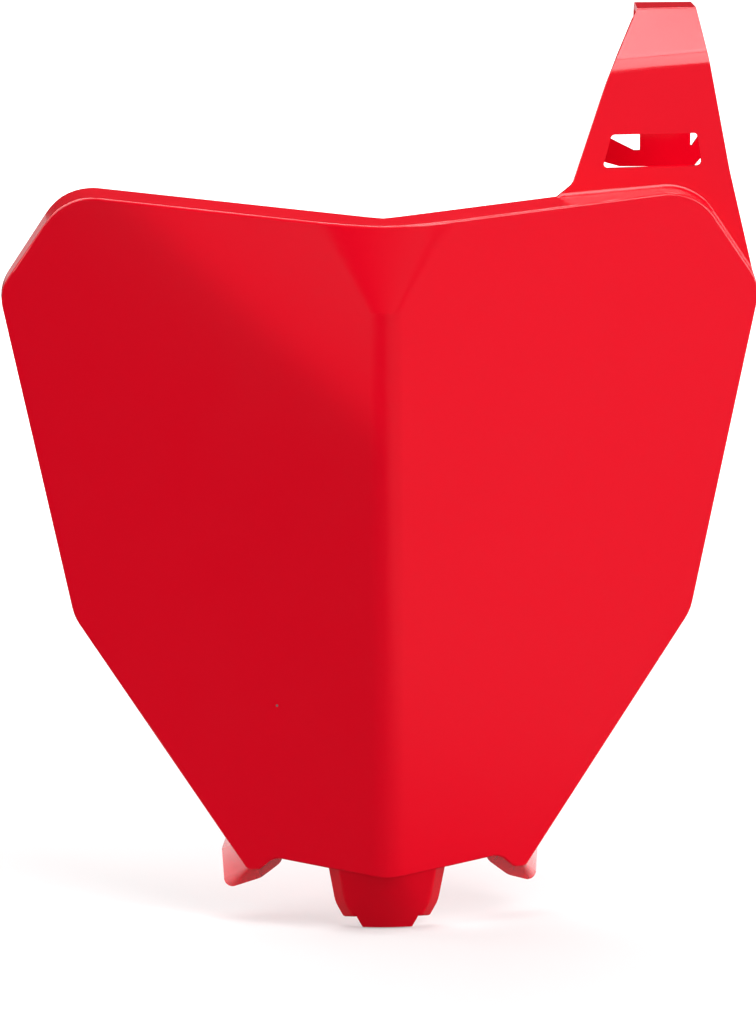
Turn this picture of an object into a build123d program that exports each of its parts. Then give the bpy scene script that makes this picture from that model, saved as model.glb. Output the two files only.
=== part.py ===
from build123d import *
import math
import os

# Racing number board: one moulded plastic piece. Millimetres.
# The front faces -Y, +X is the viewer's right and +Z is up. The origin is the middle of the tab's tip.
# The shapes below are drawn with y = 0 where the two panels would meet, then moved back to that origin.

wall = 2.2               # moulded wall all over
draft = 3.0              # rim walls open towards the back by this many degrees

# Face: two flat panels that meet in a rounded upright ridge
panel_slope = 0.42       # fall back of a panel per millimetre of width
nose_radius = 12.0       # ridge over most of the height
nose_radius_top = 52.0   # ridge at the top edge
nose_blend_z = 186.5     # above this height the ridge opens out
edge_radius = 0.7        # round along the front edge
flange_depth = 18.0      # rim, from the front edge to the back edge
rear_plane = 58.0        # the rim's back edge is trimmed flat here

# Outline of the right half in the plane of the ridge, as corners (x, z) with a radius each
top_middle = (0.0, 211.2)
top_corner = (92.6, 215.2)
wide_corner = (111.4, 187.0)
side_corner = (90.8, 90.6)
foot_outer = (41.1, 17.3)
foot_inner = (38.2, 17.6)
arch_top = (33.8, 21.7)
bottom_middle = (0.0, 17.2)
top_middle_radius = 100.0
top_corner_radius = 15.5
wide_corner_radius = 10.0
side_corner_radius = 12.0
foot_radius = 1.0
arch_radius = 6.0
bottom_middle_radius = 20.0

# Ears: the two feet of the face flare down and out behind it
ear_start = 1.5          # behind the front surface of the face
ear_rear = 37.0
ear_front = ((46.2, 23.4), (41.3, 16.7), (38.2, 17.1), (33.4, 21.4), (36.0, 34.0), (47.0, 34.0))
ear_back = ((46.6, 19.5), (45.8, 6.8), (37.5, 9.0), (30.5, 14.3), (33.0, 30.5), (45.0, 30.5))
ear_front_radii = (1.4, 1.2, 2.0)    # at the second to fourth corner
ear_back_radii = (2.6, 6.0, 4.0)
ear_drop = 1.2           # the left ear hangs lower than the right by this much
ear_spread = 2.6         # and reaches further out by this much

# Lower tongue: a shallow channel, open at the back, that leans back from the face's bottom edge
tongue_top = 20.0
tongue_setback = 0.2     # behind the face at the top
tongue_front = 10.6      # at the tip, on the middle line
tongue_radius = 40.0     # its ridge at the tip
tongue_depth = 5.5
tongue_bevel = 24.0      # sides open towards the back by this many degrees
tongue_drop = 14.0       # its bottom falls towards the back by this many degrees
tongue_edge = 2.0        # round on its front edges
tongue_half = ((14.6, tongue_top), (12.5, 7.8), (10.2, 3.5))
tongue_radii = (15.0, 1.2)           # at the second and third corner
tab_half = ((9.1, 8.0), (9.1, 3.3), (7.4, 0.0))
rib = 1.6                # rib inside the tongue

# Strap: a sheet folded into a loop for the handlebar, which ends in a barbed head behind a slot
strap_point = (56.6, 40.2, 218.0)   # on the front of the strap, at the root
strap_yaw = 0.22         # fall back of the front leg per millimetre of width
strap_lean = 0.08        # fall back of the front leg per millimetre of height
fold_x = 83.8
fold_z = 255.1           # height of the first fold at fold_x
slope_yaw = 0.165        # fall back of the 45 degree slope per millimetre of width
slope_rise = 14.1        # height of that slope, up to the crown
loop_back = 89.0
fold_radius = 8.0
crest_radius = 1.0
back_radius = 5.0
leg_left = ((48.6, 212.6), (57.0, 219.0), (68.4, 251.8), (78.8, 271.0))
leg_right = ((95.4, 271.0), (98.9, 253.4), (104.9, 221.4), (112.2, 190.0), (100.0, 189.0))
gusset_radius = 4.0      # strap's left root
bend_radius = 80.0       # slight bends in the strap's outline
crown_rear = (78.7, 95.8)
crown_z = 256.0          # below this the crown narrows to the neck
neck = (80.8, 96.2)
neck_z = 248.0
head_left = ((79.0, 223.6), (71.2, 227.6), (68.8, 225.4), (69.3, 220.3), (74.5, 218.8))
head_right = ((97.2, 218.6), (100.4, 222.4), (104.6, 228.8), (101.0, 231.4), (96.7, 225.0))
slot = ((66.1, 223.4), (96.4, 223.2), (94.9, 233.0), (68.9, 233.3))
slot_radius = 1.3
slot_edge_radius = 0.5   # round on the slot's front edge
root_radius = 1.0        # round in the corner between rim and strap
root_left = 51.0         # the corner runs from here along the rim
root_low = 187.0         # to here
cut_low = 195.0          # behind the strap the rim is cut away above a ramp, from this height at the back
cut_high = 212.0         # to this height at the strap

margin = 25.0            # shapes that trim others go past them by this much

panel_angle = math.atan(panel_slope)
face_shift = wall / math.cos(panel_angle)
tip_setback = tongue_front + tongue_radius - tongue_radius / math.cos(panel_angle)
tongue_shift = face_shift / math.cos(math.atan2(tip_setback - tongue_setback, tongue_top))
loop_top = fold_z + slope_rise
fold_y = strap_point[1] + strap_yaw * (fold_x - strap_point[0]) + strap_lean * (fold_z - strap_point[2])
reach = wide_corner[0] + margin
tall = top_corner[1] + margin
deep = loop_back + margin
low = -margin


def front_face(points, y=0.0):
    return make_face(Polyline(*[(x, y, z) for x, z in points], close=True)).face()


def mirrored(points):
    return [(-x, z) for x, z in reversed(points)]


def rounded(face, spots):
    for (x, z), radius in spots:
        corner = [v for v in face.vertices() if abs(v.X - x) + abs(v.Z - z) < 0.05]
        face = face.fillet_2d(radius, corner)
    return face


def board_outline():
    spots = [
        (top_corner, top_corner_radius),
        (wide_corner, wide_corner_radius),
        (side_corner, side_corner_radius),
        (foot_outer, foot_radius),
        (foot_inner, foot_radius),
        (arch_top, arch_radius),
    ]
    half = [corner for corner, _ in spots]
    spots += [((-x, z), radius) for (x, z), radius in spots]
    spots += [(top_middle, top_middle_radius), (bottom_middle, bottom_middle_radius)]
    return rounded(front_face([top_middle] + half + [bottom_middle] + mirrored(half)), spots)


def ridge_section(z, radius, setback):
    end_y = panel_slope * reach + setback
    touch = radius * math.sin(panel_angle)
    touch_y = setback + panel_slope * touch
    nose_y = setback + radius / math.cos(panel_angle) - radius
    left = Line((-reach, end_y, z), (-touch, touch_y, z))
    nose = ThreePointArc((-touch, touch_y, z), (0, nose_y, z), (touch, touch_y, z))
    right = Line((touch, touch_y, z), (reach, end_y, z))
    back = Polyline((reach, end_y, z), (reach, deep, z), (-reach, deep, z), (-reach, end_y, z))
    return make_face([left, nose, right, back])


def behind_face(setback):
    shrink = setback * math.cos(panel_angle)
    opening = (nose_radius_top - nose_radius) / (top_middle[1] - nose_blend_z)
    radius_above = nose_radius + opening * (tall - nose_blend_z)
    levels = ((low, nose_radius), (nose_blend_z, nose_radius), (tall, radius_above))
    return loft([ridge_section(z, radius - shrink, setback) for z, radius in levels], ruled=True)


def before_rim_back():
    trim_x = (rear_plane - flange_depth) / panel_slope
    half = [(trim_x, rear_plane), (reach, rear_plane), (reach, low)]
    plan = Polyline(*[(x, y, low) for x, y in [(0, flange_depth)] + half + mirrored(half)], close=True)
    return extrude(make_face(plan), tall - low, dir=(0, 0, 1))


def lies_on_face_edge(edge):
    start, middle, end = [edge.position_at(t) for t in (0, 0.5, 1)]
    in_front = -0.1 < middle.Y - panel_slope * abs(middle.X) < flange_depth / 3
    follows_ridge = abs(abs(start.X) - abs(end.X)) < 0.5 and abs(start.Z - end.Z) > flange_depth
    crosses_panel = abs(start.Z - nose_blend_z) < 0.1 and abs(end.Z - nose_blend_z) < 0.1
    return in_front and not follows_ridge and not crosses_panel


def tray_block():
    block = extrude(board_outline(), deep, dir=(0, 1, 0), taper=-draft)
    block = block & behind_face(0) & before_rim_back()
    return fillet([e for e in block.edges() if lies_on_face_edge(e)], edge_radius)


def tray_hollow():
    block = extrude(offset(board_outline(), -wall), deep, dir=(0, 1, 0), taper=-draft)
    return block & behind_face(face_shift)


def ear(inset, start, drop, spread):
    front = make_face(Polyline(*[(x, panel_slope * x + start, z) for x, z in ear_front], close=True)).face()
    corners = [(x + spread, z - drop) for x, z in ear_back[:2]] + list(ear_back[2:])
    back = front_face(corners, ear_rear)
    if inset:
        front = offset(front, -inset, kind=Kind.INTERSECTION).face()
        back = offset(back, -inset, kind=Kind.INTERSECTION).face()
    else:
        front = rounded(front, list(zip(ear_front[1:4], ear_front_radii)))
        back = rounded(back, list(zip(corners[1:4], ear_back_radii)))
    return loft([front, back], ruled=True)


def ears(inset, start):
    return ear(inset, start, 0, 0) + mirror(ear(inset, start, ear_drop, ear_spread), about=Plane.YZ)


def behind_tongue(shift):
    shrink = shift * math.cos(panel_angle)
    top = ridge_section(tongue_top, nose_radius - shrink, tongue_setback + shift)
    tip = ridge_section(0, tongue_radius - shrink, tip_setback + shift)
    return loft([top, tip], ruled=True)


def tongue_corner(x, z):
    setback = tip_setback + (tongue_setback - tip_setback) * z / tongue_top
    return Vector(x, setback + panel_slope * abs(x), z)


def between_tongue_sides(body, inset):
    corners = [tongue_corner(x, z) for x, z in list(tongue_half) + mirrored(tongue_half)]
    for start, end in zip(corners, corners[1:]):
        along = (end - start).normalized()
        bevel = tongue_drop if start.Z == end.Z else tongue_bevel
        outward = Vector(-along.Z, 0, along.X).normalized()
        backward = Vector(0, 1, 0) + outward * math.tan(math.radians(bevel))
        side = Plane(start, z_dir=backward.cross(along))
        body = split(body, bisect_by=side.offset(inset), keep=Keep.TOP)
    return body


def is_tongue_front_edge(edge):
    start, end = [edge.position_at(t) for t in (0.02, 0.98)]
    on_front = all((p - tongue_corner(p.X, p.Z)).length < 0.5 for p in (start, end))
    return on_front and start.X * end.X > 0 and abs(start.Z - end.Z) > tongue_depth


def runs_back_from(corner, edge):
    x, z = corner
    ends = [edge.position_at(t) for t in (0, 1)]
    level = abs(ends[0].Z - ends[1].Z) < tongue_depth / 2 < abs(ends[0].Y - ends[1].Y)
    return level and any((p - tongue_corner(math.copysign(x, p.X), z)).length < 0.5 for p in ends)


def tongue_body():
    body = between_tongue_sides(behind_tongue(0) - behind_tongue(tongue_depth), 0)
    for corner, radius in zip(tongue_half[1:], tongue_radii):
        body = fillet([e for e in body.edges() if runs_back_from(corner, e)], radius)
    return fillet([e for e in body.edges() if is_tongue_front_edge(e)], tongue_edge)


def tongue():
    pocket = between_tongue_sides(behind_tongue(tongue_shift), wall)
    pocket -= Pos(0, tongue_front, bottom_middle[1] + margin / 2) * Box(reach, deep, margin)
    pocket -= Pos(0, tongue_front, 0) * Box(rib, deep, tall)
    tab = extrude(front_face(list(tab_half) + mirrored(tab_half)), deep, dir=(0, 1, 0))
    tab = tab & (behind_tongue(0) - behind_tongue(tongue_shift))
    return tongue_body() - pocket + tab


def loop_planes(inset):
    leg = Plane(strap_point, z_dir=(-strap_yaw, 1, -strap_lean))
    slope = Plane((fold_x, fold_y, fold_z), z_dir=(-slope_yaw, 1, -1))
    crown = Plane((fold_x, fold_y, loop_top), z_dir=(0, 0, -1))
    back = Plane((fold_x, loop_back, loop_top), z_dir=(0, -1, 0))
    return [plane.offset(inset) for plane in (leg, slope, crown, back)]


def lies_on(plane, edge):
    return all(abs(plane.to_local_coords(edge.position_at(t)).Z) < 0.01 for t in (0, 0.5, 1))


def loop_body(inset):
    planes = loop_planes(inset)
    body = Pos(fold_x, loop_back, loop_top) * Box(reach, 2 * deep, tall)
    for plane in planes:
        body = split(body, bisect_by=plane, keep=Keep.TOP)
    for first, second, radius in zip(planes, planes[1:], (fold_radius, crest_radius, back_radius)):
        fold = [e for e in body.edges() if lies_on(first, e) and lies_on(second, e)]
        body = fillet(fold, max(radius - inset, edge_radius))
    return body


def crest():
    return Plane((fold_x, fold_y + slope_rise, loop_top), z_dir=(-slope_yaw, 1, 0))


def leg_shape():
    start_y = strap_point[1] - margin / 2
    spots = [(leg_left[1], gusset_radius)]
    spots += [(spot, bend_radius) for spot in (leg_left[2], leg_right[2])]
    outline = rounded(front_face(leg_left + leg_right, start_y), spots)
    hole = rounded(front_face(slot, start_y), [(corner, slot_radius) for corner in slot])
    leg = extrude(outline - hole, deep, dir=(0, 1, 0))
    return split(leg, bisect_by=crest(), keep=Keep.BOTTOM)


def crown_corner(low_corner, high_corner):
    (low_x, low_z), (high_x, high_z) = low_corner, high_corner
    x = low_x + (high_x - low_x) * (loop_top - low_z) / (high_z - low_z)
    return (x, fold_y + slope_rise + slope_yaw * (x - fold_x), crown_z)


def crown_shape():
    front = [crown_corner(leg_left[2], leg_left[3]), crown_corner(leg_right[1], leg_right[0])]
    rear = [(x, loop_back, crown_z) for x in crown_rear]
    bend = [(x, loop_back - back_radius, crown_z) for x in crown_rear]
    outline = [front[0], bend[0], rear[0], rear[1], bend[1], front[1]]
    return extrude(make_face(Polyline(*outline, close=True)), margin, dir=(0, 0, 1))


def tail_shape():
    left = [(crown_rear[0], crown_z), (neck[0], neck_z), (neck[0], head_left[0][1])]
    right = [(neck[1], head_right[-1][1]), (neck[1], neck_z), (crown_rear[1], crown_z)]
    outline = left + list(head_left) + list(head_right) + right
    start_y = loop_back - margin / 2
    return extrude(front_face(outline, start_y), loop_back - start_y, dir=(0, 1, 0))


def strap_sheet():
    sheet = (loop_body(0) - loop_body(wall)) & (leg_shape() + crown_shape() + tail_shape())
    front = loop_planes(0)[0]
    (left, _), (right, _) = slot[0], slot[1]
    rim = [e for e in sheet.edges() if lies_on(front, e) and left < e.position_at(0.5).X < right]
    rim = [e for e in rim if slot[0][1] - 2 < e.position_at(0.5).Z < slot[3][1] + 2]
    return fillet(rim, slot_edge_radius)


def is_root_corner(edge):
    middle = edge.position_at(0.5)
    across = root_left + 1 < middle.X < reach
    return across and root_low + 0.1 < middle.Z < tall


def strap_root(block):
    front = loop_planes(0)[0]
    slab = Box(reach, deep, tall - root_low, align=(Align.MIN, Align.MIN, Align.MIN))
    slab = split(Pos(root_left, 0, root_low) * slab, bisect_by=front, keep=Keep.TOP)
    slab = split(slab, bisect_by=front.offset(wall), keep=Keep.BOTTOM)
    body = block + slab
    corner = [e for e in body.edges() if lies_on(front, e) and is_root_corner(e)]
    return fillet(corner, root_radius) & leg_shape()


def behind_strap():
    back = rear_plane + 1
    front = strap_point[1]
    ramp = [(back, cut_low), (front, cut_high), (front, tall), (back, tall)]
    profile = make_face(Polyline(*[(root_left, y, z) for y, z in ramp], close=True))
    return extrude(profile, reach - root_left, dir=(1, 0, 0)) & loop_body(wall)


def number_board():
    hollow = tray_hollow()
    block = tray_block()
    board = block + ears(0, ear_start) - hollow - ears(wall, face_shift)
    board += tongue() - hollow
    strap = strap_sheet() + strap_root(block)
    return board + (strap - hollow) - behind_strap()


part = Pos(0, -tongue_front - tongue_shift / 2, 0) * number_board()
os.makedirs("parts", exist_ok=True)
export_step(part, "parts/number_board.step")
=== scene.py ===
import math
import bpy
from mathutils import Matrix, Vector


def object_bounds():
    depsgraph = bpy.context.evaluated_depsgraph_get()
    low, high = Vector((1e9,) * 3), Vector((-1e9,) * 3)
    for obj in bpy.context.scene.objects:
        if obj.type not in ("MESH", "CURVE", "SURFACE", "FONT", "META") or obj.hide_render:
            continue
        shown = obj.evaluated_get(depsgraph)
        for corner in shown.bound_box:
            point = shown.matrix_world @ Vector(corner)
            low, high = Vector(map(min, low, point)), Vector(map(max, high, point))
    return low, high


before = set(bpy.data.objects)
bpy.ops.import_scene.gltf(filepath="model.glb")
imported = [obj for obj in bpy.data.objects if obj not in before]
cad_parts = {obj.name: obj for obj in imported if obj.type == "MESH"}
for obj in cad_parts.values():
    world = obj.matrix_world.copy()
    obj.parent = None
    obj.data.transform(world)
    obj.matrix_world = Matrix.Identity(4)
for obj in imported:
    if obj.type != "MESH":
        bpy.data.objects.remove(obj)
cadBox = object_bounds()
scene = bpy.context.scene
scene.view_settings.view_transform = "Standard"
print("frame loaded")


class Value:
    # wraps a socket, so that shader maths reads as a formula
    def __init__(self, socket):
        self.socket = socket
        self.tree = socket.id_data

    @staticmethod
    def node(tree, kind, settings, sockets):
        made = tree.nodes.new(kind)
        for key, setting in settings.items():
            setattr(made, key, setting)
        places = {socket.identifier: socket for socket in made.inputs}
        for key, given in sockets.items():
            if isinstance(given, Value):
                tree.links.new(given.socket, places[key])
            else:
                places[key].default_value = given
        return {socket.identifier: Value(socket) for socket in made.outputs}

    def maths(self, operation, *inputs):
        sockets = dict(zip(("Value", "Value_001"), inputs))
        return Value.node(self.tree, "ShaderNodeMath", {"operation": operation}, sockets)["Value"]

    def __add__(self, other):
        return self.maths("ADD", self, other)

    def __radd__(self, other):
        return self.maths("ADD", other, self)

    def __sub__(self, other):
        return self.maths("SUBTRACT", self, other)

    def __rsub__(self, other):
        return self.maths("SUBTRACT", other, self)

    def __mul__(self, other):
        return self.maths("MULTIPLY", self, other)

    def __rmul__(self, other):
        return self.maths("MULTIPLY", other, self)

    def __abs__(self):
        return self.maths("ABSOLUTE", self)

    # eases from 0 at the first number to 1 at the second
    def ramp(self, start, end):
        settings = {"interpolation_type": "SMOOTHSTEP"}
        sockets = {"Value": self, "From Min": start, "From Max": end}
        return Value.node(self.tree, "ShaderNodeMapRange", settings, sockets)["Result"]


def newMaterial(name):
    made = bpy.data.materials.new(name)
    made.use_nodes = True
    made.node_tree.nodes.clear()
    return made, made.node_tree


def coordinates(tree, kind):
    return Value.node(tree, "ShaderNodeTexCoord", {}, {})[kind]


def axes(point):
    return Value.node(point.tree, "ShaderNodeSeparateXYZ", {}, {"Vector": point}).values()


def apart(point, spot):
    sockets = {"Vector": point, "Vector_001": spot}
    return Value.node(point.tree, "ShaderNodeVectorMath", {"operation": "DISTANCE"}, sockets)["Value"]


def noise(point, scale, detail):
    sockets = {"Vector": point, "Scale": scale, "Detail": detail}
    return Value.node(point.tree, "ShaderNodeTexNoise", {}, sockets)["Fac"]


def mix(tree, kind, share, first, second):
    settings = {"data_type": "RGBA", "blend_type": kind}
    sockets = {"Factor_Float": share, "A_Color": first, "B_Color": second}
    return Value.node(tree, "ShaderNodeMix", settings, sockets)["Result_Color"]


# red moulded plastic, coloured through
plastic = {
    "colour": (0.75, 0.0005, 0.013, 1.0),
    "drift": 0.03,              # slow change of the colour over the moulding
    "driftNoise": (11.0, 2.0),  # scale and detail
    "driftMiddle": 0.5,
    "shine": (0.115, 0.04),     # smoothest roughness, and what duller patches add
    "shineNoise": (60.0, 3.0),
    "skinNoise": (420.0, 1.0),  # fine waves of the moulded skin
    "skinHeight": 0.000006,
    "ior": 1.49,
    "speck": (-0.0324, 0.0017, 0.0675),  # tiny dark fleck on the left panel
    "speckSize": (0.0002, 0.0005),       # radius of its middle and of its soft edge
    "speckColour": (0.16, 0.16, 0.16, 1.0),
}


def makePlastic():
    material, tree = newMaterial("redPlastic")
    point = coordinates(tree, "Object")
    wander = noise(point, *plastic["driftNoise"]) - plastic["driftMiddle"]
    red = mix(tree, "MULTIPLY", 1.0, plastic["colour"], 1 + plastic["drift"] * wander)
    clear = apart(point, plastic["speck"]).ramp(*plastic["speckSize"])
    smooth, extra = plastic["shine"]
    skin = Value.node(tree, "ShaderNodeBump", {}, {
        "Distance": plastic["skinHeight"],
        "Height": noise(point, *plastic["skinNoise"]),
    })
    shader = Value.node(tree, "ShaderNodeBsdfPrincipled", {}, {
        "Base Color": mix(tree, "MIX", clear, plastic["speckColour"], red),
        "Roughness": smooth + extra * noise(point, *plastic["shineNoise"]),
        "IOR": plastic["ior"],
        "Normal": skin["Normal"],
    })
    Value.node(tree, "ShaderNodeOutputMaterial", {}, {"Surface": shader["BSDF"]})
    return material


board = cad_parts["number_board"]
board.data.materials.clear()
board.data.materials.append(makePlastic())
print("plastic done")

# pale floor: one tone for the camera, others for what the gloss mirrors and for the light from below
floorLook = {
    "size": 40.0,
    "gap": 0.0004,              # below the tip of the tab
    "pale": 0.50,
    "bounce": (0.95, 0.42),     # light from below, close behind the face and elsewhere
    "bounceFade": (0.06, 0.16),
    "mirror": (0.0, 0.12),      # what the face mirrors, at the left and the right
    "mirrorSide": (-0.1, 0.3),
    "card": 0.24,               # paler stretch that the left panel mirrors
    "cardEdge": ((-1.289, -1.127), (-0.715, -0.735)),
    "cardFade": (0.0, 0.05),
    "cardEnd": (-0.75, -0.55),
    "behind": (-0.012, 0.022),  # from the front of the face to the back of it
    "behindGlow": (1.1, 0.08, 0.55),  # mirrored beside the tongue, around it and far behind
    "beside": (0.042, 0.060),
    "closeFade": (0.12, 0.25),
    "farFade": (1.5, 4.0),
    "glow": (0.36, 1.0),        # near the object and far from it
    "glowFade": (0.25, 0.9),
}


# the pale stretch lies to one side of a line on the floor
def cardOn(x, y):
    start, end = [Vector(point) for point in floorLook["cardEdge"]]
    along = (end - start).normalized()
    inside = (x - start.x) * along.y - (y - start.y) * along.x
    return inside.ramp(*floorLook["cardFade"]) * (1 - x.ramp(*floorLook["cardEnd"]))


def makeFloorMaterial():
    material, tree = newMaterial("paleFloor")
    point = coordinates(tree, "Object")
    x, y, _ = axes(point)
    path = Value.node(tree, "ShaderNodeLightPath", {}, {})
    seen = path["Is Camera Ray"]
    glossy = path["Is Glossy Ray"]
    distance = apart(point, (0, 0, 0))
    behind = y.ramp(*floorLook["behind"])

    left, right = floorLook["mirror"]
    mirror = left + (right - left) * x.ramp(*floorLook["mirrorSide"])
    mirror = mirror + floorLook["card"] * cardOn(x, y)
    near, far = floorLook["bounce"]
    bounce = far + (near - far) * behind * (1 - distance.ramp(*floorLook["bounceFade"]))
    tone = bounce + (mirror - bounce) * glossy
    tone = tone + (floorLook["pale"] - tone) * seen

    near, far = floorLook["glow"]
    glow = (near + (far - near) * distance.ramp(*floorLook["glowFade"])) * seen
    near, around, far = floorLook["behindGlow"]
    close = 1 - distance.ramp(*floorLook["closeFade"])
    beside = abs(x).ramp(*floorLook["beside"]) * close
    mirrored = around + (near - around) * beside
    mirrored = mirrored + (far - around) * distance.ramp(*floorLook["farFade"])
    glow = glow + mirrored * behind * glossy

    shader = Value.node(tree, "ShaderNodeBsdfPrincipled", {}, {
        "Base Color": tone,
        "Roughness": 1.0,
        "Specular IOR Level": 0.0,
        "Emission Color": glow,
        "Emission Strength": 1.0,
    })
    Value.node(tree, "ShaderNodeOutputMaterial", {}, {"Surface": shader["BSDF"]})
    return material


def makeFloor():
    bpy.ops.object.select_all(action="DESELECT")
    height = cadBox[0].z - floorLook["gap"]
    bpy.ops.mesh.primitive_plane_add(size=floorLook["size"], location=(0, 0, height))
    floor = bpy.context.object
    floor.name = "floor"
    floor.data.materials.append(makeFloorMaterial())


makeFloor()
print("floor done")

# soft studio light: direction as azimuth and elevation, half angles, radiance
target = Vector((0.0, 0.015, 0.13))
boxes = [
    {"name": "key", "azimuth": 42, "elevation": 38, "across": 15, "up": 20, "radiance": 5.5, "away": 3.2},
    {"name": "top", "azimuth": 48, "elevation": 71, "across": 10, "up": 11, "radiance": 6.8, "away": 3.0},
    {"name": "left", "azimuth": -80, "elevation": 25, "across": 18, "up": 16, "radiance": 3.45, "away": 3.2},
    {"name": "right", "azimuth": 86, "elevation": 11, "across": 28, "up": 12, "radiance": 3.65, "away": 3.2},
    {"name": "back", "azimuth": -128, "elevation": 38, "across": 20, "up": 16, "radiance": 3.6, "away": 3.2},
    {"name": "rim", "azimuth": 178, "elevation": 42, "across": 24, "up": 10, "radiance": 5.2, "away": 3.2},
]


def towards(azimuth, elevation):
    turn = math.radians(azimuth)
    lift = math.radians(elevation)
    return Vector((math.sin(turn) * math.cos(lift), -math.cos(turn) * math.cos(lift), math.sin(lift)))


def addBox(box):
    lamp = bpy.data.lights.new(box["name"], "AREA")
    lamp.shape = "RECTANGLE"
    lamp.size = 2 * box["away"] * math.tan(math.radians(box["across"]))
    lamp.size_y = 2 * box["away"] * math.tan(math.radians(box["up"]))
    lamp.energy = box["radiance"] * math.pi * lamp.size * lamp.size_y
    lit = bpy.data.objects.new(box["name"], lamp)
    back = towards(box["azimuth"], box["elevation"])
    lit.location = target + box["away"] * back
    lit.rotation_euler = back.to_track_quat("Z", "Y").to_euler()
    scene.collection.objects.link(lit)


for box in boxes:
    addBox(box)

# spot from the far left: its edge runs across the left panel, between two points on it
band = {
    "azimuth": -80,
    "elevation": 20,
    "away": 2.5,
    "power": 100.0,
    "size": 0.006,
    "half": 12.0,               # half angle of its cone
    "blend": 0.03,
    "edge": ((-0.0802, 0.0218, 0.2164), (-0.0047, -0.0099, 0.1491)),
}


def addBand():
    lamp = bpy.data.lights.new("band", "SPOT")
    lamp.energy = band["power"]
    half = math.radians(band["half"])
    lamp.spot_size = 2 * half
    lamp.spot_blend = band["blend"]
    lamp.shadow_soft_size = band["size"]
    lit = bpy.data.objects.new("band", lamp)
    lit.location = target + band["away"] * towards(band["azimuth"], band["elevation"])
    first, second = [(Vector(point) - lit.location).normalized() for point in band["edge"]]
    middle = (first + second).normalized()
    above = first.cross(second).normalized()
    above = above if above.z > 0 else -above
    tilt = math.acos(math.cos(half) / middle.dot(first))
    aim = middle * math.cos(tilt) + above * math.sin(tilt)
    lit.rotation_euler = (-aim).to_track_quat("Z", "Y").to_euler()
    scene.collection.objects.link(lit)


addBand()

# world: darker below, paler above, white where the camera sees it
worldLook = {
    "low": 0.032,
    "high": 0.40,
    "rise": (0.3, 0.9),
    "front": 0.264,             # low glow at the front right
    "frontSide": (-0.6, 0.65),
    "frontNear": (-0.1, -0.4),
    "frontTop": (0.2, 0.4),
}


def makeWorld():
    world = bpy.data.worlds.new("studio")
    scene.world = world
    world.use_nodes = True
    tree = world.node_tree
    tree.nodes.clear()
    side, deep, up = axes(coordinates(tree, "Generated"))
    glow = worldLook["low"] + (worldLook["high"] - worldLook["low"]) * up.ramp(*worldLook["rise"])
    front = side.ramp(*worldLook["frontSide"]) * deep.ramp(*worldLook["frontNear"])
    glow = glow + worldLook["front"] * front * (1 - up.ramp(*worldLook["frontTop"]))
    seen = Value.node(tree, "ShaderNodeLightPath", {}, {})["Is Camera Ray"]
    glow = glow + (1 - glow) * seen
    shader = Value.node(tree, "ShaderNodeBackground", {}, {"Color": glow, "Strength": 1.0})
    Value.node(tree, "ShaderNodeOutputWorld", {}, {"Surface": shader["Background"]})


makeWorld()
print("light done")

# camera: the photograph's viewing angle
shot = {
    "azimuth": -1.74,
    "elevation": 10.4,
    "roll": 0.286,
    "away": 1.6,
    "target": Vector((-0.001765, 0.01316, 0.1235)),
    "photoHeight": 1024,        # pixels
    "pixel": 0.0002972,         # metres at the target
    "sensor": 36.0,
}


def addCamera():
    data = bpy.data.cameras.new("camera")
    data.sensor_width = shot["sensor"]
    data.lens = shot["sensor"] * shot["away"] / (shot["photoHeight"] * shot["pixel"])
    camera = bpy.data.objects.new("camera", data)
    scene.collection.objects.link(camera)
    turn = math.radians(shot["azimuth"])
    roll = math.radians(shot["roll"])
    back = towards(shot["azimuth"], shot["elevation"])
    right = Vector((math.cos(turn), math.sin(turn), 0))
    up = back.cross(right)
    x = right * math.cos(roll) - up * math.sin(roll)
    y = up * math.cos(roll) + right * math.sin(roll)
    place = Matrix((x, y, back)).transposed().to_4x4()
    place.translation = shot["target"] + shot["away"] * back
    camera.matrix_world = place
    scene.camera = camera


addCamera()
print("camera done")
